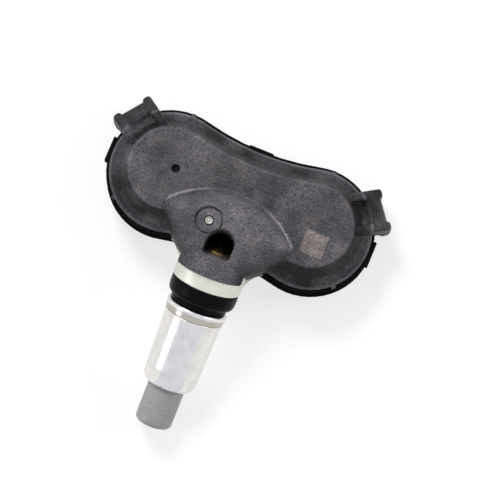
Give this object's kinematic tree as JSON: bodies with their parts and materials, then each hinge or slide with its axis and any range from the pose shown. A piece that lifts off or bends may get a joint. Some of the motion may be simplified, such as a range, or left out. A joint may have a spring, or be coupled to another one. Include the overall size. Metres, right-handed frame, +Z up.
{
  "type": "tyre pressure sensor",
  "caption": "Tyre pressure sensor: a lobed plastic housing with snap latches and a hooded, slanted metal clamp-in valve with rubber grommet, rim nut and screw cap.",
  "frame": {"origin": "centre of the seat where the valve's rubber grommet meets the metal head, which is the place where the wheel rim clamps", "axes": "+X along the housing, from the pressure port's lobe to the battery's lobe; +Y from the valve towards the housing's far edge; +Z up with the part lying as it comes to rest, on the housing's far edge and the end of the valve cap. The valve's axis lies in the YZ plane"},
  "size_m": [0.0758, 0.0773, 0.0238],
  "materials": {
    "tray": "matt black moulded plastic",
    "cover": "fine-grained charcoal moulded plastic",
    "gasket": "soft rubber",
    "board": "solder-masked glass-fibre board",
    "cell": "plain metal can",
    "strip": "nickel-plated spring strip",
    "sensor": "black moulded package",
    "port_seal": "soft silicone",
    "ceramic": "fired ceramic",
    "ferrite": "dark ferrite",
    "copper": "enamelled copper wire",
    "contact": "plain spring metal",
    "pin": "plated pin",
    "stem": "turned aluminium",
    "grommet": "black moulded rubber",
    "nut": "bright plated aluminium",
    "core": "turned brass",
    "seal": "rubber",
    "cap": "grey plastic with fine upright ribs"
  },
  "bodies": {
    "sensor": {"housing_tray": "tray", "front_cover": "cover", "cover_gasket": "gasket", "circuit_board": "board", "battery_cell": "cell", "battery_top_strip": "strip", "battery_bottom_strip": "strip", "pressure_sensor": "sensor", "port_seal": "port_seal", "control_chip": "sensor", "crystal": "strip", "capacitors": "ceramic", "coil_core": "ferrite", "coil_winding": "copper", "antenna_strip": "contact", "contact_pin": "pin", "valve_stem": "stem", "stem_clip": "contact", "rim_grommet": "grommet", "core_body": "core", "core_seal": "seal", "core_spring": "strip"},
    "washer": {"nut_washer": "nut"},
    "nut": {"rim_nut": "nut"},
    "cap_ring": {"cap_seal": "seal"},
    "cap": {"valve_cap": "cap"},
    "core": {"core_pin": "core", "core_cup": "seal"}
  },
  "joints": [
    {"name": "washer_travel", "type": "slide", "parent": "sensor", "child": "washer", "axis": [0, -0.9729, -0.231], "range_m": [0, 0.004]},
    {"name": "nut_turn", "type": "hinge", "parent": "washer", "child": "nut", "pos_m": [0, 0, 0], "axis": [0, -0.9729, -0.231], "range_deg": [0, 1440]},
    {"name": "cap_travel", "type": "slide", "parent": "sensor", "child": "cap_ring", "axis": [0, -0.9729, -0.231], "range_m": [0, 0.0127]},
    {"name": "cap_turn", "type": "hinge", "parent": "cap_ring", "child": "cap", "pos_m": [0, 0, 0], "axis": [0, -0.9729, -0.231], "range_deg": [0, 5760]},
    {"name": "core_press", "type": "slide", "parent": "sensor", "child": "core", "axis": [0, 0.9729, 0.231], "range_m": [0, 0.0012], "stiffness_N_per_m": 300}
  ],
  "couplings": [
    {"joint": "nut_turn", "follows": "washer_travel", "rad_per_m": 6283.2},
    {"joint": "cap_turn", "follows": "cap_travel", "rad_per_m": 7915.8}
  ]
}
